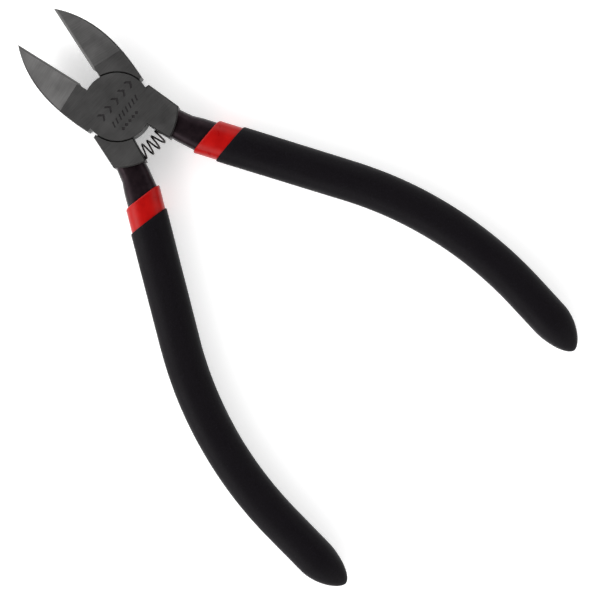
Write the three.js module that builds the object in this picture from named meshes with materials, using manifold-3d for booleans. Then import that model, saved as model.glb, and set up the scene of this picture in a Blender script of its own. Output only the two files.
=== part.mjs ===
// Flush cut pliers: two lap-jointed steel halves, a rivet, a return spring and double-dipped grips.
//
// Millimetres, +Z up. The origin is on the pivot axis at the back face. +Y points to the blade tips, along
// the line midway between the open cutting edges, and the front face of the joint looks up.
//
// Each half is drawn in a frame of its own: pivot at the origin, cutting edge along +Y, jaw on the -X side
// and lever on the +X side. The back half is the front one's mirror image, except that its round cheek is
// the lower one and its lever is bent a little further out.
import * as THREE from "three";
import { mergeVertices } from "three/addons/utils/BufferGeometryUtils.js";
import Module from "manifold-3d";

const wasm = await Module();
wasm.setup();

// Whole tool.
const THICKNESS = 10; // of joint and grips alike, so the tool lies flat on either face
const MID = THICKNESS / 2;
const JAW_TURN = 12.4; // degrees from +Y to each cutting edge at rest
const BACK_LEVER_BEND = 3.6; // degrees that the back lever is bent further out than the front one

// Joint.
const CHEEK_RADIUS = 8.6;
const SEAM_GAP = 0.2; // between a cheek and the other half around it
const SEAM_CHAMFER = 0.12; // on both sides of that seam
const CHEEK_GAP = 0.1; // between the two cheeks
const RIVET_RADIUS = 3;
const RIVET_GAP = 0.05;
const RIVET_END = 8.4; // height of its blind end, inside the front cheek
const RIVET_HEAD = { radius: 4.2, depth: 1.2 }; // countersunk, flush with the back face

// Jaw, in the half's own frame.
const TIP_Y = 29.4;
const EDGE_START_Y = 11; // the cutting edge runs from here to the tip
const EDGE_CLEARANCE = 0.05; // from each edge to the line where the two edges meet
const HEEL_RELIEF = 0.45; // the jaw steps back this far between the edge and the cheek
const HEEL = { x: -9.2, y: 3 }; // outer corner where the jaw ends beside the joint
const HEEL_PULL = 10; // length of the outer curve's handle at the heel, which points along +Y
const TIP_PULL = { x: -7.4, y: -7 }; // the outer curve's handle at the tip
const FACE_START_Y = 11.5; // the ground blade face slopes away from here
const FACE_SLOPE = 4;
const BELLY_START_Y = 9.5; // the underside rises from here
const BELLY_SLOPE = 12.5;
const HOLLOW_RADIUS = 12; // of the hollow-ground bevel behind the edge
const HOLLOW_CENTRE = { x: 6.35, z: -10.55 }; // from the edge line
const EDGE_BAND = 0.6; // width of the fine bevel along the edge
const EDGE_BAND_SLOPE = 15;
const CHAMFER = 0.32; // along the outer edges of the jaws and shoulders
const CHAMFER_FADE = 6; // the jaw's chamfer thins to nothing over this last stretch before the tip

// Shoulder, the ground block between joint and neck.
const SHOULDER_RADIUS = 15.3;
const SHOULDER_INNER_X = 0.35;
const SHOULDER_OUTER_X = 8.3;
const SHOULDER_CORNER = { x: 8.88, y: -3.77 };

// Lever centreline: a straight, an arc bowed outwards and another straight, joined smoothly. Distances
// along it are measured from where the first straight would meet the level of the pivot.
const BOW_RADIUS = 100;
const BOW_ANGLE = THREE.MathUtils.degToRad(15); // from the bow's apex to either end of the arc
const BOW_APEX = { x: 18.9, y: -85 };

// Steel lever: a neck that bends into the centreline, and a tang that thins towards its end.
const NECK = [
  { x: 4.4, y: -9, halfWidth: 3.5, halfThickness: 3.6 },
  { x: 4.35, y: -13.8, halfWidth: 3.6, halfThickness: 4 },
  { x: 4.55, y: -17, halfWidth: 3.8, halfThickness: 4.1 },
];
const TANG_START = 21.6;
const TANG_STEPS = 13;
const TANG_SHORT_OF_TAIL = 12;
const TANG_FULL = { halfWidth: 4.2, halfThickness: 4 };
const TANG_THIN = { halfWidth: 3.1, halfThickness: 2.6 };
const TANG_GAP = 0.15;

// Grips: a red coat, and over it a black one that starts further from the joint.
const RED_START = 23.3;
const BLACK_START = 29.6;
const FRONT_TAIL = 133.2;
const BACK_TAIL = 136;
const DIP_LEAN = 0.42; // slant of the coats' first edges, as a rise per unit of width
const LEAN_END = 56; // sections stand square to the centreline from here on
const GRIP_HALF_WIDTH = { start: 5.2, end: 5 };
const CAP_LENGTH = 10; // of the rounded tail
const CAP_POINTEDNESS = 1.7; // 2 would make the tail's outline an ellipse
const CAP_HOOK = 0.8; // the tip of the tail lies this far inside the centreline
const BLACK_WALL = 0.3;
const COAT_GAP = 0.05;

// Return spring, on an arc about the pivot, seated in a blind pocket in each shoulder.
const SPRING_ARC_RADIUS = 12.7;
const COIL_RADIUS = 1.8;
const WIRE_RADIUS = 0.24;
const SPRING_TURNS = 7;
const CLOSED_TURNS = 1; // at each end
const CLOSED_PITCH = 0.55;
const POCKET_RADIUS = 2.35;
const POCKET_DEPTH = 1.9;
const POCKET_FLOOR_GAP = 0.1;

// Section exponents: 2 is an ellipse, and more is squarer.
const STEEL_SQUARENESS = 3.2;
const GRIP_SQUARENESS = 2.6;

// Facets.
const ROUND_SEGMENTS = 96;
const SECTION_SEGMENTS = 32;
const CURVE_SEGMENTS = 32;
const ARC_SEGMENTS = 8;
const COAT_STEPS = 9;
const WIRE_SEGMENTS = 8;
const STEPS_PER_TURN = 16;

const { clamp, degToRad, lerp } = THREE.MathUtils;

function solidFrom(geometry) {
  const bare = new THREE.BufferGeometry();
  bare.setAttribute("position", geometry.getAttribute("position"));
  bare.setIndex(geometry.getIndex());
  const merged = mergeVertices(bare);
  return new wasm.Manifold(
    new wasm.Mesh({
      numProp: 3,
      vertProperties: merged.getAttribute("position").array,
      triVerts: new Uint32Array(merged.getIndex().array),
    }),
  );
}

function geometryFrom(solid) {
  const mesh = solid.getMesh();
  const geometry = new THREE.BufferGeometry();
  geometry.setAttribute("position", new THREE.BufferAttribute(mesh.vertProperties, 3));
  geometry.setIndex(new THREE.BufferAttribute(mesh.triVerts, 1));
  geometry.computeVertexNormals();
  return geometry;
}

function turned(solid, degrees) {
  return solidFrom(geometryFrom(solid).rotateZ(degToRad(degrees)));
}

// An outline raised through the whole thickness.
function slab(outline, curveSegments, chamfer = 0) {
  const geometry = new THREE.ExtrudeGeometry(outline, {
    depth: THICKNESS - 2 * chamfer,
    bevelEnabled: chamfer > 0,
    bevelThickness: chamfer,
    bevelSize: chamfer,
    bevelOffset: -chamfer,
    bevelSegments: 1,
    curveSegments,
  });
  return solidFrom(geometry.translate(0, 0, chamfer));
}

// A block around the joint between two heights.
function layer(low, high) {
  const width = 4 * CHEEK_RADIUS;
  return solidFrom(new THREE.BoxGeometry(width, width, high - low).translate(0, 0, (low + high) / 2));
}

// Everything above a plane through a point, which is rolled about Y and then pitched about X.
function spaceAbove(point, pitch, roll = 0) {
  const reach = 80;
  const geometry = new THREE.BoxGeometry(reach, reach, reach);
  geometry.translate(0, 0, reach / 2);
  geometry.rotateY(degToRad(roll));
  geometry.rotateX(degToRad(pitch));
  geometry.translate(point.x, point.y, point.z);
  return solidFrom(geometry);
}

// A closed surface through rings of equal length, with a pole point past each end.
function loft(rings, startPole, endPole) {
  const count = rings[0].length;
  const points = [...rings.flat(), startPole, endPole];
  const startIndex = points.length - 2;
  const endIndex = points.length - 1;
  const lastRing = (rings.length - 1) * count;
  const faces = [];
  for (let i = 0; i < count; i++) {
    const next = (i + 1) % count;
    for (let ring = 0; ring < lastRing; ring += count) {
      const here = ring + i;
      const beside = ring + next;
      faces.push(here, beside, beside + count);
      faces.push(here, beside + count, here + count);
    }
    faces.push(startIndex, next, i);
    faces.push(endIndex, lastRing + i, lastRing + next);
  }
  const geometry = new THREE.BufferGeometry().setFromPoints(points);
  geometry.setIndex(faces);
  geometry.computeVertexNormals();
  return geometry;
}

// A solid around the Z axis, whose profile lists its radii from low to high.
function revolved(profile) {
  const rings = profile.map(({ radius, z }) =>
    Array.from({ length: ROUND_SEGMENTS }, (_, i) => {
      const angle = (2 * Math.PI * i) / ROUND_SEGMENTS;
      return new THREE.Vector3(radius * Math.cos(angle), radius * Math.sin(angle), z);
    }),
  );
  const poles = [profile[0], profile.at(-1)].map(({ z }) => new THREE.Vector3(0, 0, z));
  return solidFrom(loft(rings, ...poles));
}

const BOW_START = {
  x: BOW_APEX.x - BOW_RADIUS * (1 - Math.cos(BOW_ANGLE)),
  y: BOW_APEX.y + BOW_RADIUS * Math.sin(BOW_ANGLE),
};
const ARC_START = -BOW_START.y / Math.cos(BOW_ANGLE);
const ARC_END = ARC_START + 2 * BOW_RADIUS * BOW_ANGLE;

// The centreline's place and heading at a distance along it. A positive heading leans outwards.
function centreline(distance) {
  const onArc = clamp(distance, ARC_START, ARC_END);
  const straight = distance - onArc;
  const heading = BOW_ANGLE - (onArc - ARC_START) / BOW_RADIUS;
  return {
    x: BOW_APEX.x - BOW_RADIUS * (1 - Math.cos(heading)) + straight * Math.sin(heading),
    y: BOW_APEX.y + BOW_RADIUS * Math.sin(heading) - straight * Math.cos(heading),
    heading,
  };
}

// The point at a distance along the centreline, moved inwards across it.
function poleAt(distance, inwards = 0) {
  const centre = moved(centreline(distance), inwards);
  return new THREE.Vector3(centre.x, centre.y, MID);
}

function moved(centre, inwards) {
  const { x, y, heading } = centre;
  return { x: x - inwards * Math.cos(heading), y: y - inwards * Math.sin(heading), heading };
}

const rounded = (value, exponent) => Math.sign(value) * Math.abs(value) ** (2 / exponent);

// A rounded-square ring across the centreline, slanted along it by the lean.
function ring(centre, halfWidth, halfThickness, squareness, lean = 0) {
  const across = new THREE.Vector2(Math.cos(centre.heading), Math.sin(centre.heading));
  const along = new THREE.Vector2(across.y, -across.x);
  return Array.from({ length: SECTION_SEGMENTS }, (_, i) => {
    const angle = (2 * Math.PI * i) / SECTION_SEGMENTS;
    const side = halfWidth * rounded(Math.cos(angle), squareness);
    const up = halfThickness * rounded(Math.sin(angle), squareness);
    return new THREE.Vector3(
      centre.x + side * (across.x + lean * along.x),
      centre.y + side * (across.y + lean * along.y),
      MID + up,
    );
  });
}

// Rings around the tang, grown by a gap to line the coat that holds it.
function tangRings(tail, gap) {
  return Array.from({ length: TANG_STEPS + 1 }, (_, i) => {
    const share = i / TANG_STEPS;
    return ring(
      centreline(lerp(TANG_START, tail - TANG_SHORT_OF_TAIL, share)),
      lerp(TANG_FULL.halfWidth, TANG_THIN.halfWidth, share) + gap,
      lerp(TANG_FULL.halfThickness, TANG_THIN.halfThickness, share) + gap,
      STEEL_SQUARENESS,
    );
  });
}

function leverSolid(tail) {
  const neckRings = NECK.map((station) =>
    ring({ ...station, heading: 0 }, station.halfWidth, station.halfThickness, STEEL_SQUARENESS),
  );
  const start = new THREE.Vector3(NECK[0].x, NECK[0].y, MID);
  return solidFrom(loft([...neckRings, ...tangRings(tail, 0)], start, poleAt(tail - TANG_SHORT_OF_TAIL)));
}

const JAW_CURVE = new THREE.CubicBezierCurve(
  new THREE.Vector2(-EDGE_CLEARANCE, TIP_Y),
  new THREE.Vector2(TIP_PULL.x, TIP_Y + TIP_PULL.y),
  new THREE.Vector2(HEEL.x, HEEL.y + HEEL_PULL),
  new THREE.Vector2(HEEL.x, HEEL.y),
);

function jawSolid() {
  const outline = new THREE.Shape();
  outline.moveTo(-HEEL_RELIEF, 0);
  outline.lineTo(-HEEL_RELIEF, EDGE_START_Y - HEEL_RELIEF);
  outline.lineTo(-EDGE_CLEARANCE, EDGE_START_Y);
  outline.lineTo(-EDGE_CLEARANCE, TIP_Y);
  outline.curves.push(JAW_CURVE);
  outline.closePath();

  const face = spaceAbove({ x: 0, y: FACE_START_Y, z: THICKNESS }, -FACE_SLOPE);
  const belly = spaceAbove({ x: 0, y: BELLY_START_Y, z: 0 }, 180 + BELLY_SLOPE);
  const band = spaceAbove({ x: -EDGE_BAND, y: FACE_START_Y, z: THICKNESS }, -FACE_SLOPE, EDGE_BAND_SLOPE);
  const faceHeight = (y) => THICKNESS - Math.tan(degToRad(FACE_SLOPE)) * Math.max(y - FACE_START_Y, 0);
  const bellyHeight = (y) => Math.tan(degToRad(BELLY_SLOPE)) * Math.max(y - BELLY_START_Y, 0);
  return slab(outline, CURVE_SEGMENTS)
    .subtract(face)
    .subtract(belly)
    .subtract(hollowSolid())
    .subtract(band)
    .subtract(chamferSolid(faceHeight, 1))
    .subtract(chamferSolid(bellyHeight, -1));
}

// What a 45-degree chamfer takes off the jaw's outer curve, at the front face (up = 1) or the back one.
function chamferSolid(heightAt, up) {
  const rings = [];
  for (let i = 0; i <= CURVE_SEGMENTS; i++) {
    const { x, y } = JAW_CURVE.getPoint(i / CURVE_SEGMENTS);
    const tangent = JAW_CURVE.getTangent(i / CURVE_SEGMENTS);
    const size = CHAMFER * clamp((TIP_Y - y) / CHAMFER_FADE, 0.05, 1);
    const corner = (inwards, rise) =>
      new THREE.Vector3(
        x - inwards * size * tangent.y,
        y + inwards * size * tangent.x,
        heightAt(y) + rise * size * up,
      );
    const corners = [corner(-1, -2), corner(2, 1), corner(-1, 1)];
    rings.push(up > 0 ? corners : corners.reverse());
  }
  const middle = (ring) => ring[0].clone().add(ring[1]).add(ring[2]).divideScalar(3);
  return solidFrom(loft(rings, middle(rings[0]), middle(rings.at(-1))));
}

// The grinding wheel's path under the edge. It starts at the heel of the edge and runs out past the tip.
function hollowSolid() {
  const length = 2 * (TIP_Y - EDGE_START_Y);
  const geometry = new THREE.CylinderGeometry(HOLLOW_RADIUS, HOLLOW_RADIUS, length, 2 * ROUND_SEGMENTS);
  geometry.translate(HOLLOW_CENTRE.x, EDGE_START_Y - FACE_START_Y + length / 2, HOLLOW_CENTRE.z);
  geometry.rotateX(degToRad(-FACE_SLOPE));
  geometry.translate(0, FACE_START_Y, THICKNESS);
  return solidFrom(geometry);
}

function shoulderSolid() {
  const innerAngle = -Math.acos(SHOULDER_INNER_X / SHOULDER_RADIUS);
  const outerAngle = -Math.acos(SHOULDER_OUTER_X / SHOULDER_RADIUS);
  const outline = new THREE.Shape();
  outline.moveTo(SHOULDER_CORNER.x, SHOULDER_CORNER.y);
  outline.lineTo(SHOULDER_INNER_X, 0);
  outline.absarc(0, 0, SHOULDER_RADIUS, innerAngle, outerAngle, false);
  outline.closePath();
  return slab(outline, ARC_SEGMENTS, CHAMFER);
}

function pocketSolid() {
  const length = 2 * POCKET_DEPTH;
  const geometry = new THREE.CylinderGeometry(POCKET_RADIUS, POCKET_RADIUS, length, ROUND_SEGMENTS / 2);
  geometry.rotateZ(Math.PI / 2);
  geometry.translate(SHOULDER_INNER_X + POCKET_DEPTH - length / 2, -SPRING_ARC_RADIUS, MID);
  return solidFrom(geometry);
}

// The rivet, or the room for it where there is a gap. The room's 45-degree mouth runs on past the back face.
function rivetSolid(gap, past = 0) {
  const radius = RIVET_RADIUS + gap;
  return revolved([
    { radius: RIVET_HEAD.radius + gap + past, z: -past },
    { radius, z: RIVET_HEAD.depth },
    { radius, z: RIVET_END + gap },
  ]);
}

// A drum through one side of the joint, whose rim at the tool's face has another radius. The slope of the
// rim is carried on past the face.
function seamDrum(radius, rimRadius, side) {
  const pastRadius = 2 * rimRadius - radius;
  return revolved([
    { radius: pastRadius, z: -SEAM_CHAMFER },
    { radius, z: SEAM_CHAMFER },
    { radius, z: THICKNESS - SEAM_CHAMFER },
    { radius: pastRadius, z: THICKNESS + SEAM_CHAMFER },
  ]).intersect(side);
}

// A whole steel half. Its cheek takes one side of the joint, and the other side is left free for the
// other half's cheek.
function steelHalf(cheekSide, freeSide, leverBend, tail) {
  const roomRadius = CHEEK_RADIUS + SEAM_GAP;
  const lever = shoulderSolid().add(leverSolid(tail)).subtract(pocketSolid());
  return jawSolid()
    .add(turned(lever, leverBend))
    .subtract(seamDrum(roomRadius, roomRadius + SEAM_CHAMFER, freeSide))
    .add(seamDrum(CHEEK_RADIUS, CHEEK_RADIUS - SEAM_CHAMFER, cheekSide))
    .subtract(rivetSolid(RIVET_GAP, RIVET_HEAD.depth));
}

// Rings of a coat's outer surface, or of the surface at a depth below it, from its first edge to the last
// ring of its rounded tail.
function coatRings(start, tail, depth) {
  const capStart = tail - CAP_LENGTH;
  const halfWidthAt = (distance) => {
    const share = (distance - BLACK_START) / (capStart - BLACK_START);
    return lerp(GRIP_HALF_WIDTH.start, GRIP_HALF_WIDTH.end, share) - depth;
  };
  const halfThickness = MID - depth;
  const bodyDistances = [start, (start + LEAN_END) / 2];
  for (let i = 0; i <= COAT_STEPS; i++) {
    bodyDistances.push(lerp(LEAN_END, capStart, i / COAT_STEPS));
  }
  const body = bodyDistances.map((distance) => {
    const lean = DIP_LEAN * clamp((LEAN_END - distance) / (LEAN_END - BLACK_START), 0, 1);
    return ring(centreline(distance), halfWidthAt(distance), halfThickness, GRIP_SQUARENESS, lean);
  });
  const cap = [24, 44, 61, 76].map((degrees) => {
    const along = rounded(Math.sin(degToRad(degrees)), CAP_POINTEDNESS);
    const across = rounded(Math.cos(degToRad(degrees)), CAP_POINTEDNESS);
    const centre = moved(centreline(capStart + along * (CAP_LENGTH - depth)), CAP_HOOK * along ** 2);
    return ring(centre, halfWidthAt(capStart) * across, halfThickness * across, GRIP_SQUARENESS);
  });
  return [...body, ...cap];
}

function blackCoat(tail) {
  const inside = coatRings(BLACK_START, tail, BLACK_WALL).reverse();
  const outside = coatRings(BLACK_START, tail, 0);
  return loft([...inside, ...outside], poleAt(tail - BLACK_WALL, CAP_HOOK), poleAt(tail, CAP_HOOK));
}

function redCoat(tail) {
  const depth = BLACK_WALL + COAT_GAP;
  const floor = tail - TANG_SHORT_OF_TAIL + TANG_GAP;
  const lining = tangRings(tail, TANG_GAP);
  const { halfWidth, halfThickness } = TANG_FULL;
  lining[0] = ring(
    centreline(RED_START),
    halfWidth + TANG_GAP,
    halfThickness + TANG_GAP,
    STEEL_SQUARENESS,
    DIP_LEAN,
  );
  const outside = coatRings(RED_START, tail, depth);
  return loft([...lining.reverse(), ...outside], poleAt(floor), poleAt(tail - depth, CAP_HOOK));
}

// The wire's path: a left-hand helix around an arc about the pivot, closed up at both ends.
class SpringPath extends THREE.Curve {
  getPoint(share, target = new THREE.Vector3()) {
    const turn = share * SPRING_TURNS;
    const closedLength = CLOSED_TURNS * CLOSED_PITCH;
    const openShare = clamp((turn - CLOSED_TURNS) / (SPRING_TURNS - 2 * CLOSED_TURNS), 0, 1);
    const closedTurn = turn - clamp(turn, CLOSED_TURNS, SPRING_TURNS - CLOSED_TURNS);
    const advance = lerp(closedLength, SPRING_LENGTH - closedLength, openShare) + closedTurn * CLOSED_PITCH;
    const arcAngle = SPRING_BACK_ANGLE + advance / SPRING_ARC_RADIUS;
    const coilAngle = -2 * Math.PI * turn;
    const distance = SPRING_ARC_RADIUS + COIL_RADIUS * Math.sin(coilAngle);
    return target.set(
      distance * Math.sin(arcAngle),
      -distance * Math.cos(arcAngle),
      MID + COIL_RADIUS * Math.cos(coilAngle),
    );
  }
}

// Angles from -Y about the pivot to the spring's two seats.
const SEAT_X = SHOULDER_INNER_X + POCKET_DEPTH - POCKET_FLOOR_GAP - WIRE_RADIUS;
const SEAT_ANGLE = Math.asin(SEAT_X / SPRING_ARC_RADIUS);
const SPRING_FRONT_ANGLE = degToRad(JAW_TURN) + SEAT_ANGLE;
const SPRING_BACK_ANGLE = -degToRad(JAW_TURN + BACK_LEVER_BEND) - SEAT_ANGLE;
const SPRING_LENGTH = (SPRING_FRONT_ANGLE - SPRING_BACK_ANGLE) * SPRING_ARC_RADIUS;

function springGeometry() {
  const wire = new THREE.Shape().absarc(0, 0, WIRE_RADIUS, 0, 2 * Math.PI);
  return new THREE.ExtrudeGeometry(wire, {
    steps: SPRING_TURNS * STEPS_PER_TURN,
    extrudePath: new SpringPath(),
    curveSegments: WIRE_SEGMENTS,
  });
}

const steel = new THREE.MeshStandardMaterial({ color: 0x6e6a6b, roughness: 0.4, metalness: 1 });
const springSteel = new THREE.MeshStandardMaterial({ color: 0x2a2626, roughness: 0.4, metalness: 1 });
const redVinyl = new THREE.MeshStandardMaterial({ color: 0xb31414, roughness: 0.35, metalness: 0 });
const blackVinyl = new THREE.MeshStandardMaterial({ color: 0x17171a, roughness: 0.7, metalness: 0 });

function namedMesh(name, geometry, material) {
  const mesh = new THREE.Mesh(geometry, material);
  mesh.name = name;
  return mesh;
}

// One half with its coats, in its own frame.
function halfGroup(name, cheekSide, freeSide, leverBend, tail) {
  const half = new THREE.Group();
  const grip = new THREE.Group();
  grip.rotation.z = degToRad(leverBend);
  grip.add(namedMesh(name + "_grip_red", redCoat(tail), redVinyl));
  grip.add(namedMesh(name + "_grip_black", blackCoat(tail), blackVinyl));
  half.add(namedMesh(name + "_half", geometryFrom(steelHalf(cheekSide, freeSide, leverBend, tail)), steel));
  half.add(grip);
  return half;
}

// The cheeks end level with the tool's faces, and the rooms for them run out past those faces.
const upperCheek = layer(MID + CHEEK_GAP / 2, THICKNESS);
const upperRoom = layer(MID - CHEEK_GAP / 2, 2 * THICKNESS);
const lowerCheek = layer(0, MID - CHEEK_GAP / 2);
const lowerRoom = layer(-THICKNESS, MID + CHEEK_GAP / 2);

const front = halfGroup("front", upperCheek, lowerRoom, 0, FRONT_TAIL);
front.rotation.z = degToRad(JAW_TURN);

const back = halfGroup("back", lowerCheek, upperRoom, BACK_LEVER_BEND, BACK_TAIL);
back.scale.x = -1;
back.rotation.z = -degToRad(JAW_TURN);

const pliers = new THREE.Group();
pliers.add(front, back);
pliers.add(namedMesh("pivot_rivet", geometryFrom(rivetSolid(0)), steel));
pliers.add(namedMesh("return_spring", springGeometry(), springSteel));

export default pliers;
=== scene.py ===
"""Looks of the flush cut pliers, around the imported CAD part.

Coats are drawn in millimetres in each half's own frame: pivot at the origin, cutting edge along +Y, jaw on
the -X side and lever on the +X side. Half.place() takes them to metres in the row frame. The marks and the
spring are drawn in the row frame.
"""

import math
from dataclasses import dataclass

import bmesh
import bpy
import numpy as np
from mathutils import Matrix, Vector, noise


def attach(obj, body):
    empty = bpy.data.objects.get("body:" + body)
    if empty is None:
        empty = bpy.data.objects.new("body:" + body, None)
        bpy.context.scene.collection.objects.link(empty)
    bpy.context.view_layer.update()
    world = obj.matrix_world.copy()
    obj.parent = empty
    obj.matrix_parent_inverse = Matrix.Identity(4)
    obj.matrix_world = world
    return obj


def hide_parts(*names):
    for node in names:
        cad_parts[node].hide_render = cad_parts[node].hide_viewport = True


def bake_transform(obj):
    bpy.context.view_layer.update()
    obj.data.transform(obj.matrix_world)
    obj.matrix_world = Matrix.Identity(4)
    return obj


MM = 0.001
MID = 5.0  # height of every lever's centreline
JAW_TURN = 12.4  # degrees
BACK_LEVER_BEND = 3.6  # degrees that the back lever is bent further out than the front one

# Lever centreline, as in the CAD: straight, arc, straight.
BOW_RADIUS = 100.0
BOW_ANGLE = math.radians(15)
BOW_APEX = (18.9, -85.0)
BOW_START = (
    BOW_APEX[0] - BOW_RADIUS * (1 - math.cos(BOW_ANGLE)),
    BOW_APEX[1] + BOW_RADIUS * math.sin(BOW_ANGLE),
)
ARC_START = -BOW_START[1] / math.cos(BOW_ANGLE)
ARC_END = ARC_START + 2 * BOW_RADIUS * BOW_ANGLE

# Tang inside the coats, as half sizes.
TANG_START = 21.6
TANG_SHORT_OF_TAIL = 12.0
TANG_FULL = (4.2, 4.0)
TANG_THIN = (3.1, 2.6)
TANG_GAP = 0.15
STEEL_SQUARENESS = 3.2

# Coats.
RED_START = 23.3
BLACK_START = 29.6
DIP_LEAN = 0.42
LEAN_END = 56.0
GRIP_HALF_WIDTH = (5.2, 5.0)
GRIP_SQUARENESS = 2.6
CAP_LENGTH = 10.0
CAP_POINTEDNESS = 1.7
CAP_HOOK = 0.8
CAP_RINGS = 20
CAP_LAST_ANGLE = 86  # degrees; a pole closes the cap past this ring
BLACK_WALL = 0.3
RED_DEPTH = 0.35
RED_LIP = 0.5
COAT_SAG = 0.05  # deepest hollow that the dipping leaves
SAG_SIZE = 9.0
COAT_SEGMENTS = 56
STATION_STEP = 1.6
LIP_ANGLES = (0, 18, 36, 54, 72, 90)  # degrees
LINING_STEPS = 30

# Steel faces and edges.
WELD = 0.002
SHARP_ANGLE = math.radians(14)
GROUND_RADIUS = 15.3  # the ground shoulders end here
FACE_START_Y = 11.5  # the blade faces start here
SIDE_NORMAL_Z = 0.9  # sides and chamfers are steeper than this
LEVEL_NORMAL_Z = 0.99  # blade faces are flatter than this, and the fine bevel lies between the two
NEAR = 0.01

# Stamped marks on the front cheek: rows of plain shapes, each with its middle, count, pitch and height.
MARK_TURN = math.radians(5.5)
MARK_DEPTH = 0.14
MARK_ROOM = 7.9  # radius that holds them all
MARK_ROWS = [
    ("chevron", (0.1, 1.3), 5, 2.65, 2.2),
    ("slash", (0.4, -2.2), 8, 1.25, 1.35),
    ("diamond", (-0.2, -4.7), 5, 1.3, 1.0),
]
THICKNESS = 10.0

# Spring, on an arc about the pivot, between the floors of two blind pockets.
SPRING_ARC_RADIUS = 12.7
COIL_RADIUS = 1.8
WIRE_RADIUS = 0.24
SPRING_TURNS = 7
CLOSED_TURNS = 1
CLOSED_PITCH = 0.55
SHOULDER_INNER_X = 0.35
POCKET_DEPTH = 1.9
POCKET_FLOOR_GAP = 0.1
SPRING_SEAT = SHOULDER_INNER_X + POCKET_DEPTH - POCKET_FLOOR_GAP - WIRE_RADIUS
STEPS_PER_TURN = 40
WIRE_SEGMENTS = 12
TURN_NUDGE = 0.01  # share of a turn that the wire's heading is measured over

# Light. The tent's stops are (sine of elevation, brightness).
TENT_STOPS = [(0, 0.4), (0.35, 0.9), (0.65, 0.9), (0.87, 0.07), (1.0, 0.045)]
TENT_SIDE = (-0.85, 0.5, 0.15)
TENT_SIDE_SHARE = 0.45
TENT_STRENGTH = 2.2
KEY_PLACE = (-0.9, 0.25, 0.6)
KEY_TARGET = (0, -0.05, 0)
KEY_SIZE = 0.7
KEY_POWER = 3
FLOOR_REACH = 3.0

# Camera.
CAMERA_PLACE = (-2.30, -66.45, 700.0)
CAMERA_ROLL = math.radians(-45.4)
CAMERA_LENS = 165.7
CAMERA_SENSOR = 36

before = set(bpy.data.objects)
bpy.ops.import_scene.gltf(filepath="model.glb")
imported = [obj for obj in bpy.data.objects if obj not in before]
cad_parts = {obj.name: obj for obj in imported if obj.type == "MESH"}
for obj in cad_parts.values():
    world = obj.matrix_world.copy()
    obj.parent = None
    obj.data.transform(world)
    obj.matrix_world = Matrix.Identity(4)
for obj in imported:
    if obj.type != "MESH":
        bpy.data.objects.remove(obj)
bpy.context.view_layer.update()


@dataclass
class Half:
    """One half of the pliers, whose own frame is turned, and mirrored for the back half."""

    name: str
    side: int
    bend: float
    tail: float
    # The blade's tone differs between the halves: painted light on the front blade and painted shade on
    # the back one, for how the light falls on their slopes.
    painted_light_blade_tone: float

    def place(self, points):
        """Points of this half, in millimetres, taken to metres in the row frame."""
        lever = np.array(points, float)
        turn = math.radians(JAW_TURN + self.bend)
        x = lever[:, 0] * math.cos(turn) - lever[:, 1] * math.sin(turn)
        y = lever[:, 0] * math.sin(turn) + lever[:, 1] * math.cos(turn)
        return np.stack([self.side * x, y, lever[:, 2]], axis=1) * MM


# The front blade's higher tone is painted light and the back blade's lower tone is painted shade; the
# steel of the two is the same.
HALVES = [
    Half("front", side=1, bend=0.0, tail=133.2, painted_light_blade_tone=0.33),
    Half("back", side=-1, bend=BACK_LEVER_BEND, tail=136.0, painted_light_blade_tone=0.22),
]


def new_object(name, mesh):
    piece = bpy.data.objects.new(name, mesh)
    bpy.context.scene.collection.objects.link(piece)
    return piece


def mesh_object(name, points, faces):
    """A closed, outward-facing, smooth mesh from points in metres."""
    mesh = bpy.data.meshes.new(name)
    mesh.from_pydata([tuple(p) for p in points], [], faces)
    work = bmesh.new()
    work.from_mesh(mesh)
    bmesh.ops.recalc_face_normals(work, faces=work.faces)
    for face in work.faces:
        face.smooth = True
    work.to_mesh(mesh)
    work.free()
    return new_object(name, mesh)


def loft_faces(ring_count, segments):
    """Quads between rings, and fans to a pole past each end. The poles are the last two points."""
    faces = []
    start_pole = ring_count * segments
    last = (ring_count - 1) * segments
    for i in range(segments):
        beside = (i + 1) % segments
        for ring in range(0, last, segments):
            faces.append((ring + i, ring + beside, ring + segments + beside, ring + segments + i))
        faces.append((start_pole, beside, i))
        faces.append((start_pole + 1, last + i, last + beside))
    return faces


def lerp(pair, share):
    """The value this share of the way from the first of a pair to the second."""
    return pair[0] + (pair[1] - pair[0]) * share


def centreline(distance):
    """The centreline's place and heading at a distance along it. A positive heading leans outwards."""
    on_arc = min(max(distance, ARC_START), ARC_END)
    straight = distance - on_arc
    heading = BOW_ANGLE - (on_arc - ARC_START) / BOW_RADIUS
    x = BOW_APEX[0] - BOW_RADIUS * (1 - math.cos(heading)) + straight * math.sin(heading)
    y = BOW_APEX[1] + BOW_RADIUS * math.sin(heading) - straight * math.cos(heading)
    return x, y, heading


def moved(centre, inwards):
    x, y, heading = centre
    return x - inwards * math.cos(heading), y - inwards * math.sin(heading), heading


def rounded(values, exponent):
    return np.sign(values) * np.abs(values) ** (2 / exponent)


def ring(centre, half_width, half_thickness, squareness, lean=0.0):
    """A rounded-square ring across the centreline, slanted along it by the lean."""
    x, y, heading = centre
    angle = np.linspace(0, 2 * math.pi, COAT_SEGMENTS, endpoint=False)
    side = half_width * rounded(np.cos(angle), squareness)
    up = half_thickness * rounded(np.sin(angle), squareness)
    across = (math.cos(heading), math.sin(heading))
    along = (across[1], -across[0])
    return np.stack(
        [x + side * (across[0] + lean * along[0]), y + side * (across[1] + lean * along[1]), MID + up],
        axis=1,
    )


def pole(distance, inwards=0.0):
    x, y, _ = moved(centreline(distance), inwards)
    return np.array([[x, y, MID]])


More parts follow.
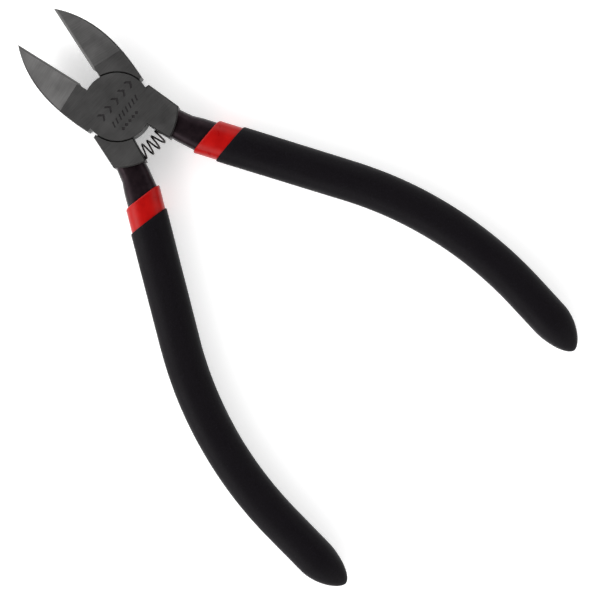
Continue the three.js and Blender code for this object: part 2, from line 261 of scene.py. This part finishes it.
def coat_ring(distance, tail, depth):
    """A coat's section at a distance, this deep below the black coat's surface."""
    cap_start = tail - CAP_LENGTH
    share = (distance - BLACK_START) / (cap_start - BLACK_START)
    lean = DIP_LEAN * min(max((LEAN_END - distance) / (LEAN_END - BLACK_START), 0), 1)
    half_width = lerp(GRIP_HALF_WIDTH, min(share, 1)) - depth
    return ring(centreline(distance), half_width, MID - depth, GRIP_SQUARENESS, lean)


def coat_rings(start, tail, depth, lip):
    """Rings of a coat's outer surface, from its rounded lip to the last ring of its tail."""
    cap_start = tail - CAP_LENGTH
    rings = []
    for a in np.radians(LIP_ANGLES):
        rings.append(coat_ring(start + lip * (1 - math.cos(a)), tail, depth + lip * (1 - math.sin(a))))
    body = np.arange(start + lip + STATION_STEP, cap_start - STATION_STEP / 2, STATION_STEP)
    rings += [coat_ring(distance, tail, depth) for distance in body]
    for a in np.radians(np.linspace(0, CAP_LAST_ANGLE, CAP_RINGS)):
        along = rounded(math.sin(a), CAP_POINTEDNESS)
        across = rounded(math.cos(a), CAP_POINTEDNESS)
        centre = moved(centreline(cap_start + along * (CAP_LENGTH - depth)), CAP_HOOK * along**2)
        half_width = (GRIP_HALF_WIDTH[1] - depth) * across
        rings.append(ring(centre, half_width, (MID - depth) * across, GRIP_SQUARENESS))
    return rings


def sagged(rings):
    """The rings with the shallow unevenness of dipped vinyl, always inwards."""
    uneven = []
    for points in rings:
        centre = points.mean(axis=0)
        hollow = np.array([0.5 + 0.5 * noise.noise(Vector(p) / SAG_SIZE) for p in points])
        reach = np.linalg.norm(points - centre, axis=1)
        share = COAT_SAG * hollow / np.maximum(reach, MID / 2)
        uneven.append(centre + (points - centre) * (1 - share)[:, None])
    return uneven


def coat_object(half, colour, lining, outside, start_pole, end_pole):
    """A closed coat, from the far end of its lining, round its lip and out to its tail."""
    rings = list(reversed(lining)) + sagged(outside)
    points = half.place(np.concatenate([*rings, start_pole, end_pole]))
    piece = mesh_object(f"{half.name}_{colour}_coat", points, loft_faces(len(rings), COAT_SEGMENTS))
    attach(piece, half.name)
    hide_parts(f"{half.name}_grip_{colour}")
    return piece


def black_coat(half):
    """The over-coat, a thin shell over the red one."""
    tail = half.tail
    lining = coat_rings(BLACK_START, tail, BLACK_WALL, 0.0)[len(LIP_ANGLES) - 1 :]
    outside = coat_rings(BLACK_START, tail, 0.0, BLACK_WALL - COAT_SAG)
    inner_pole = pole(tail - BLACK_WALL, CAP_HOOK)
    return coat_object(half, "black", lining, outside, inner_pole, pole(tail, CAP_HOOK))


def red_coat(half):
    """The under-coat, which fills the space between the tang and the black coat."""
    tail = half.tail
    tang_end = tail - TANG_SHORT_OF_TAIL
    lining = []
    for share in np.linspace(0, 1, LINING_STEPS):
        distance = lerp((RED_START, tang_end), share)
        tang_share = (distance - TANG_START) / (tang_end - TANG_START)
        half_width = lerp((TANG_FULL[0], TANG_THIN[0]), tang_share) + TANG_GAP
        half_thickness = lerp((TANG_FULL[1], TANG_THIN[1]), tang_share) + TANG_GAP
        lean = DIP_LEAN * max(1 - share * 5, 0)
        lining.append(ring(centreline(distance), half_width, half_thickness, STEEL_SQUARENESS, lean))
    outside = coat_rings(RED_START, tail, RED_DEPTH, RED_LIP - COAT_SAG)
    end_pole = pole(tail - RED_DEPTH, CAP_HOOK)
    return coat_object(half, "red", lining, outside, pole(tang_end + TANG_GAP), end_pole)


def mark_outline(shape, height):
    """A mark's outline around its own middle, counter-clockwise."""
    tall = height / 2
    if shape == "chevron":
        stroke = height * 0.3
        point = height * 0.42
        return [(0, -tall), (stroke, -tall), (point + stroke, 0), (stroke, tall), (0, tall), (point, 0)]
    if shape == "slash":
        lean = height * 0.25
        stroke = height * 0.3
        return [(-lean, -tall), (stroke - lean, -tall), (stroke + lean, tall), (lean, tall)]
    return [(0, -tall), (tall, 0), (0, tall), (-tall, 0)]


def mark_cutter():
    """Every stamped mark as an upright prism that reaches down to the marks' floor."""
    points, faces = [], []
    for shape, middle, count, pitch, height in MARK_ROWS:
        for i in range(count):
            outline = np.array(mark_outline(shape, height))
            outline[:, 0] += (i - (count - 1) / 2) * pitch
            x = middle[0] + outline[:, 0] * math.cos(MARK_TURN) - outline[:, 1] * math.sin(MARK_TURN)
            y = middle[1] + outline[:, 0] * math.sin(MARK_TURN) + outline[:, 1] * math.cos(MARK_TURN)
            first = len(points)
            sides = len(outline)
            for z in (THICKNESS - MARK_DEPTH, THICKNESS + MARK_DEPTH):
                points += [(px * MM, py * MM, z * MM) for px, py in zip(x, y)]
            faces.append(tuple(first + k for k in reversed(range(sides))))
            faces.append(tuple(first + sides + k for k in range(sides)))
            for k in range(sides):
                beside = (k + 1) % sides
                faces.append((first + k, first + beside, first + sides + beside, first + sides + k))
    return mesh_object("mark_cutter", points, faces)


def stamp(piece):
    """Cuts the marks into a piece's mesh."""
    cutter = mark_cutter()
    cut = piece.modifiers.new("marks", "BOOLEAN")
    cut.operation = "DIFFERENCE"
    cut.solver = "EXACT"
    cut.object = cutter
    evaluated = piece.evaluated_get(bpy.context.evaluated_depsgraph_get())
    stamped = bpy.data.meshes.new_from_object(evaluated)
    piece.modifiers.clear()
    piece.data = stamped
    bpy.data.objects.remove(cutter)


def steel_piece(node, name, body, stamped=False):
    """A CAD node with its edges kept sharp and its curves shaded smooth."""
    work = bmesh.new()
    work.from_mesh(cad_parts[node].data)
    bmesh.ops.remove_doubles(work, verts=work.verts, dist=WELD * MM)
    points = [tuple(v.co) for v in work.verts]
    faces = [tuple(v.index for v in face.verts) for face in work.faces]
    work.free()
    piece = mesh_object(name, points, faces)
    if stamped:
        stamp(piece)
    work = bmesh.new()
    work.from_mesh(piece.data)
    for edge in work.edges:
        edge.smooth = edge.calc_face_angle(0) < SHARP_ANGLE
    work.to_mesh(piece.data)
    work.free()
    even = piece.modifiers.new("even shading", "WEIGHTED_NORMAL")
    even.keep_sharp = True
    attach(piece, body)
    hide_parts(node)
    return piece


def spring_piece():
    """The coil spring, with closed turns at both ends, which bends between the halves."""
    seat = math.asin(SPRING_SEAT / SPRING_ARC_RADIUS)
    first = -math.radians(JAW_TURN + BACK_LEVER_BEND) - seat
    last = math.radians(JAW_TURN) + seat
    length = (last - first) * SPRING_ARC_RADIUS
    closed = CLOSED_TURNS * CLOSED_PITCH

    def path(turn):
        open_share = min(max((turn - CLOSED_TURNS) / (SPRING_TURNS - 2 * CLOSED_TURNS), 0), 1)
        closed_turn = turn - min(max(turn, CLOSED_TURNS), SPRING_TURNS - CLOSED_TURNS)
        advance = lerp((closed, length - closed), open_share) + closed_turn * CLOSED_PITCH
        arc = first + advance / SPRING_ARC_RADIUS
        coil = -2 * math.pi * turn
        distance = SPRING_ARC_RADIUS + COIL_RADIUS * math.sin(coil)
        return np.array(
            [distance * math.sin(arc), -distance * math.cos(arc), MID + COIL_RADIUS * math.cos(coil)]
        )

    turns = np.linspace(0, SPRING_TURNS, SPRING_TURNS * STEPS_PER_TURN + 1)
    rings = []
    for turn in turns:
        here = path(turn)
        heading = path(min(turn + TURN_NUDGE, SPRING_TURNS)) - path(max(turn - TURN_NUDGE, 0))
        heading /= np.linalg.norm(heading)
        outwards = np.cross(heading, np.cross((0, 0, 1), heading))
        outwards /= np.linalg.norm(outwards)
        beside = np.cross(heading, outwards)
        angle = np.linspace(0, 2 * math.pi, WIRE_SEGMENTS, endpoint=False)[:, None]
        rings.append(here + WIRE_RADIUS * (np.cos(angle) * outwards + np.sin(angle) * beside))
    poles = [path(0)[None], path(SPRING_TURNS)[None]]
    points = np.concatenate([*rings, *poles]) * MM
    piece = mesh_object("coil_spring", points, loft_faces(len(rings), WIRE_SEGMENTS))
    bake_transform(piece)
    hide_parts("return_spring")
    return piece


def set_stops(ramp, stops):
    """Gives a colour ramp node its stops, each a (position, colour) pair."""
    elements = ramp.color_ramp.elements
    while len(elements) < len(stops):
        elements.new(0.5)
    for element, (position, colour) in zip(elements, stops):
        element.position = position
        element.color = (*colour, 1)


class Nodes:
    """A small helper for building one material's node tree."""

    def __init__(self, name):
        self.material = bpy.data.materials.new(name)
        self.material.use_nodes = True
        self.tree = self.material.node_tree
        self.shader = self.tree.nodes["Principled BSDF"]
        coordinates = self.tree.nodes.new("ShaderNodeTexCoord")
        self.place = coordinates.outputs["Object"]

    def link(self, source, target):
        self.tree.links.new(source, target)

    def set(self, **values):
        for key, value in values.items():
            self.shader.inputs[key.replace("_", " ")].default_value = value

    def stretched(self, stretch, turn):
        """Object coordinates that make a texture this many times longer along the turned X axis."""
        node = self.tree.nodes.new("ShaderNodeMapping")
        node.vector_type = "TEXTURE"
        node.inputs["Rotation"].default_value = (0, 0, math.radians(turn))
        node.inputs["Scale"].default_value = (stretch, 1, 1)
        self.link(self.place, node.inputs["Vector"])
        return node.outputs["Vector"]

    def noise(self, vector, scale, detail=2.0, roughness=0.5):
        node = self.tree.nodes.new("ShaderNodeTexNoise")
        node.inputs["Scale"].default_value = scale
        node.inputs["Detail"].default_value = detail
        node.inputs["Roughness"].default_value = roughness
        self.link(vector, node.inputs["Vector"])
        return node.outputs["Fac"]

    def range(self, source, low, high, to_low, to_high):
        node = self.tree.nodes.new("ShaderNodeMapRange")
        node.inputs["From Min"].default_value = low
        node.inputs["From Max"].default_value = high
        node.inputs["To Min"].default_value = to_low
        node.inputs["To Max"].default_value = to_high
        self.link(source, node.inputs["Value"])
        return node.outputs["Result"]

    def ramp(self, source, stops):
        node = self.tree.nodes.new("ShaderNodeValToRGB")
        set_stops(node, stops)
        self.link(source, node.inputs["Fac"])
        return node.outputs["Color"]

    def colour(self, source, stops):
        self.link(self.ramp(source, stops), self.shader.inputs["Base Color"])

    def roughness(self, source, smoothest, roughest):
        self.link(self.range(source, 0.3, 0.7, smoothest, roughest), self.shader.inputs["Roughness"])

    def normal(self, source):
        self.link(source, self.shader.inputs["Normal"])

    def bump(self, height, strength, distance, under=None):
        node = self.tree.nodes.new("ShaderNodeBump")
        node.inputs["Strength"].default_value = strength
        node.inputs["Distance"].default_value = distance
        self.link(height, node.inputs["Height"])
        if under:
            self.link(under, node.inputs["Normal"])
        return node.outputs["Normal"]


def ground_steel(name, turn, tone, roughness):
    """Satin steel from a grinding wheel, whose lines run along the turned X axis."""
    n = Nodes(name)
    streaks = n.noise(n.stretched(30, turn), 5200, 3, 0.65)
    fine = n.noise(n.stretched(50, turn), 14000, 1)
    patches = n.noise(n.place, 160, 4, 0.6)
    dark = [tone * c for c in (0.84, 0.825, 0.82)]
    light = [tone * c for c in (1.14, 1.12, 1.11)]
    n.colour(streaks, [(0.3, dark), (0.7, light)])
    n.roughness(patches, roughness - 0.05, roughness + 0.05)
    n.normal(n.bump(fine, 0.2, 0.000006, n.bump(streaks, 0.25, 0.00001)))
    n.set(Metallic=1.0)
    return n.material


def oxide_steel():
    """Forged steel under black oxide."""
    n = Nodes("black_oxide")
    forged = n.noise(n.place, 520, 4, 0.6)
    grain = n.noise(n.place, 5200, 3, 0.6)
    n.colour(forged, [(0.3, (0.008, 0.004, 0.006)), (0.75, (0.02, 0.012, 0.015))])
    n.roughness(grain, 0.3, 0.46)
    n.normal(n.bump(grain, 0.3, 0.00002, n.bump(forged, 0.35, 0.00012)))
    n.set(Metallic=0.6, Specular_IOR_Level=0.2)
    return n.material


def mark_black():
    """The dark floor and sides of the stamped marks."""
    n = Nodes("mark_black")
    grain = n.noise(n.place, 9000, 3)
    n.colour(grain, [(0.3, (0.008, 0.006, 0.007)), (0.7, (0.02, 0.017, 0.018))])
    n.roughness(grain, 0.5, 0.7)
    n.set(Metallic=0.3)
    return n.material


def wire_steel():
    """Dark drawn wire."""
    n = Nodes("spring_wire")
    drawn = n.noise(n.place, 3000, 2)
    n.colour(drawn, [(0.3, (0.03, 0.026, 0.026)), (0.7, (0.07, 0.06, 0.06))])
    n.roughness(drawn, 0.28, 0.4)
    n.set(Metallic=0.9)
    return n.material


def red_vinyl():
    """Semi-gloss dipped vinyl, slightly rippled."""
    n = Nodes("red_vinyl")
    cloud = n.noise(n.place, 350, 3)
    ripple = n.noise(n.place, 1400, 3)
    n.colour(cloud, [(0.3, (0.29, 0.002, 0.002)), (0.7, (0.38, 0.003, 0.002))])
    n.roughness(cloud, 0.26, 0.38)
    n.normal(n.bump(ripple, 0.2, 0.00003))
    n.set(Specular_IOR_Level=0.16)
    return n.material


def black_vinyl():
    """Matt, finely pitted dipped vinyl with light specks."""
    n = Nodes("black_vinyl")
    grain = n.noise(n.place, 3600, 4, 0.7)
    pits = n.noise(n.place, 1100, 3, 0.6)
    cloud = n.noise(n.place, 90, 3, 0.6)
    dark, middle, speck = (0.0015, 0.0008, 0.0014), (0.005, 0.004, 0.006), (0.03, 0.03, 0.036)
    n.colour(grain, [(0.35, dark), (0.66, middle), (0.76, speck)])
    n.roughness(cloud, 0.5, 0.62)
    n.normal(n.bump(grain, 0.5, 0.00003, n.bump(pits, 0.35, 0.00004)))
    n.set(Specular_IOR_Level=0.08)
    return n.material


JOINT_STEEL, OXIDE_STEEL, BLADE_STEEL, MARK_BLACK, SIDE_STEEL_PAINTED_SHADE = range(5)
joint_steel = ground_steel("joint_steel", turn=0, tone=0.14, roughness=0.4)
# Sides and chamfers take a far darker tone than the ground flats: painted shade, which keeps the steep
# faces dark where they would catch the bright tent.
side_steel_painted_shade = ground_steel("side_steel_painted_shade", turn=0, tone=0.035, roughness=0.45)
oxide = oxide_steel()
mark = mark_black()
red = red_vinyl()
black = black_vinyl()


def steel_slot(face):
    """Which of a steel half's materials a face takes."""
    x, y, z = Vector(face.center) / MM
    radius = math.hypot(x, y)
    turn = math.radians(JAW_TURN)
    if y < 0 and radius > GROUND_RADIUS - NEAR:
        return OXIDE_STEEL
    if radius < MARK_ROOM and THICKNESS - MARK_DEPTH - NEAR < z < THICKNESS - NEAR:
        return MARK_BLACK
    # Sides and chamfers take the painted-shade steel.
    if -NEAR < face.normal.z < SIDE_NORMAL_Z:
        return SIDE_STEEL_PAINTED_SHADE
    along_edge = y * math.cos(turn) + abs(x) * math.sin(turn)
    # The fine bevel along the cutting edge keeps the darker joint tone, not the blade's: painted shade
    # along the edge.
    if along_edge > FACE_START_Y and not SIDE_NORMAL_Z < face.normal.z < LEVEL_NORMAL_Z:
        return BLADE_STEEL
    return JOINT_STEEL


for half in HALVES:
    piece = steel_piece(f"{half.name}_half", f"{half.name}_steel", half.name, half.name == "front")
    # Each half's blade steel carries painted light (front) and painted shade (back) in its tone.
    blade_steel_with_painted_light = ground_steel(f"{half.name}_blade", half.side * JAW_TURN, half.painted_light_blade_tone, 0.38)
    for material in (joint_steel, oxide, blade_steel_with_painted_light, mark, side_steel_painted_shade):
        piece.data.materials.append(material)
    for face in piece.data.polygons:
        face.material_index = steel_slot(face)
    black_coat(half).data.materials.append(black)
    red_coat(half).data.materials.append(red)

rivet = steel_piece("pivot_rivet", "rivet", "back")
rivet.data.materials.append(joint_steel)
spring_piece().data.materials.append(wire_steel())


def key_light():
    """One large soft lamp from the upper left."""
    light = bpy.data.lights.new("key", "AREA")
    light.shape = "RECTANGLE"
    light.size = KEY_SIZE
    light.size_y = KEY_SIZE
    light.energy = KEY_POWER
    lamp = new_object("key", light)
    lamp.location = KEY_PLACE
    lamp.rotation_euler = (Vector(KEY_TARGET) - Vector(KEY_PLACE)).to_track_quat("-Z", "Y").to_euler()


def floor():
    """A white sheet that glows a little, so that it keeps shadows faint."""
    mesh = bpy.data.meshes.new("floor")
    corners = [(x * FLOOR_REACH, y * FLOOR_REACH, 0) for x, y in ((-1, -1), (1, -1), (1, 1), (-1, 1))]
    mesh.from_pydata(corners, [], [(0, 1, 2, 3)])
    sheet = new_object("floor", mesh)
    n = Nodes("floor_paint")
    n.set(Base_Color=(0.93, 0.93, 0.93, 1), Roughness=0.9)
    n.set(Emission_Color=(1, 1, 1, 1), Emission_Strength=0.35)
    mesh.materials.append(n.material)


def studio_world():
    """A light tent, dark overhead and brighter towards one side."""
    world = bpy.data.worlds.new("studio")
    world.use_nodes = True
    tree = world.node_tree
    direction = tree.nodes.new("ShaderNodeTexCoord").outputs["Generated"]
    split = tree.nodes.new("ShaderNodeSeparateXYZ")
    tree.links.new(direction, split.inputs["Vector"])
    ramp = tree.nodes.new("ShaderNodeValToRGB")
    set_stops(ramp, [(position, (brightness,) * 3) for position, brightness in TENT_STOPS])
    tree.links.new(split.outputs["Z"], ramp.inputs["Fac"])
    towards = tree.nodes.new("ShaderNodeVectorMath")
    towards.operation = "DOT_PRODUCT"
    towards.inputs[1].default_value = TENT_SIDE
    tree.links.new(direction, towards.inputs[0])
    lit = tree.nodes.new("ShaderNodeMapRange")
    lit.inputs["From Min"].default_value = -1
    lit.inputs["To Min"].default_value = TENT_STRENGTH * (1 - TENT_SIDE_SHARE)
    lit.inputs["To Max"].default_value = TENT_STRENGTH * (1 + TENT_SIDE_SHARE)
    tree.links.new(towards.outputs["Value"], lit.inputs["Value"])
    background = tree.nodes["Background"]
    tree.links.new(ramp.outputs["Color"], background.inputs["Color"])
    tree.links.new(lit.outputs["Result"], background.inputs["Strength"])
    bpy.context.scene.world = world


floor()
key_light()
studio_world()

camera_data = bpy.data.cameras.new("camera")
camera_data.lens = CAMERA_LENS
camera_data.sensor_width = CAMERA_SENSOR
camera = new_object("camera", camera_data)
camera.location = Vector(CAMERA_PLACE) * MM
camera.rotation_euler = (0, 0, CAMERA_ROLL)
bpy.context.scene.camera = camera
bpy.context.scene.view_settings.view_transform = "Standard"
